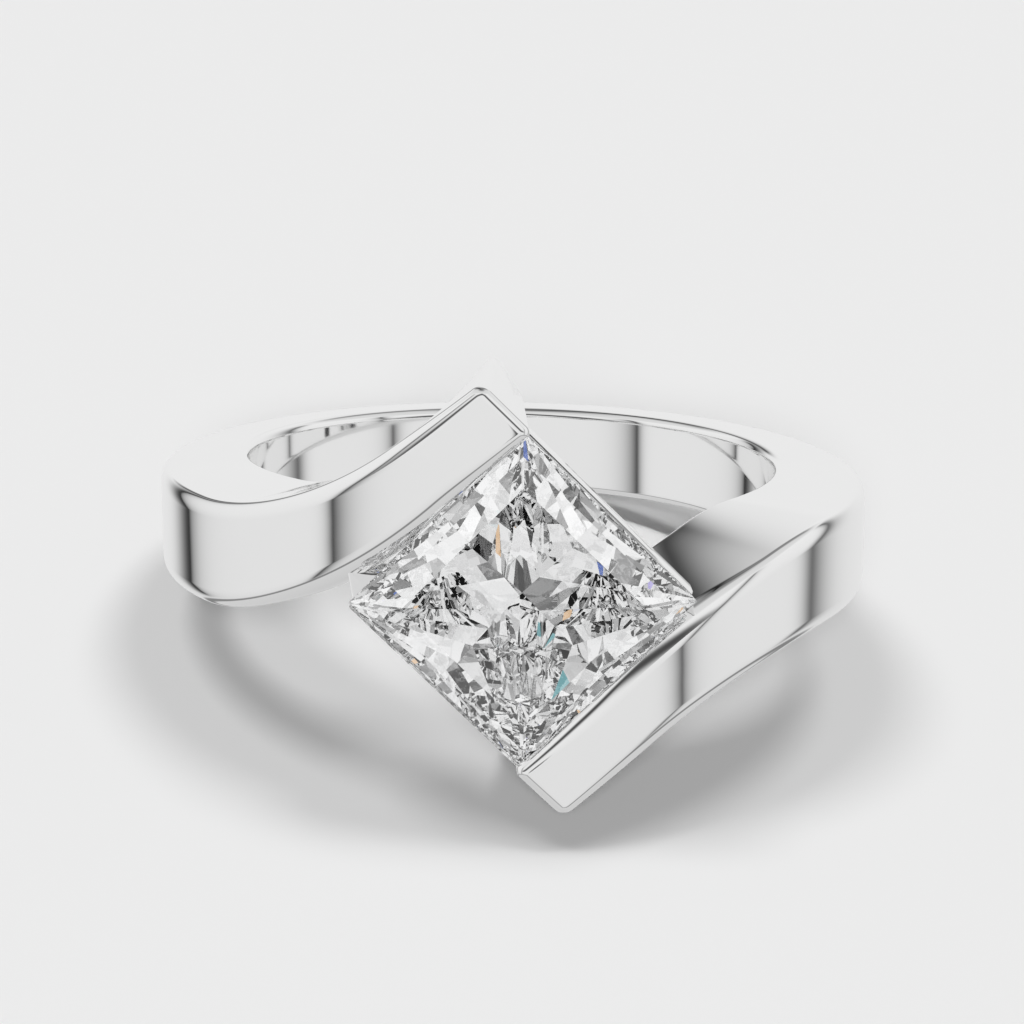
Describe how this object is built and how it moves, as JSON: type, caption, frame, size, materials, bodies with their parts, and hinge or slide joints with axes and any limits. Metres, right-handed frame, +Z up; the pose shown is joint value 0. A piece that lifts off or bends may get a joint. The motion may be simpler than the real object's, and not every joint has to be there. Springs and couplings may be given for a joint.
{
  "type": "silver bypass ring with square stone",
  "caption": "Silver bypass ring whose two flat arms sweep past each other and grip a square cut stone set on its corner.",
  "frame": {"origin": "on the surface the ring lies on, under the middle of its outline", "axes": "+Z up, away from the surface; -Y towards the stone; +X to the right as one faces the stone"},
  "size_m": [0.0218, 0.0242, 0.0125],
  "materials": {
    "silver": "mirror polished silver",
    "diamond": "faceted and polished"
  },
  "bodies": {
    "root": {"band": "silver", "diamond": "diamond"}
  },
  "joints": []
}
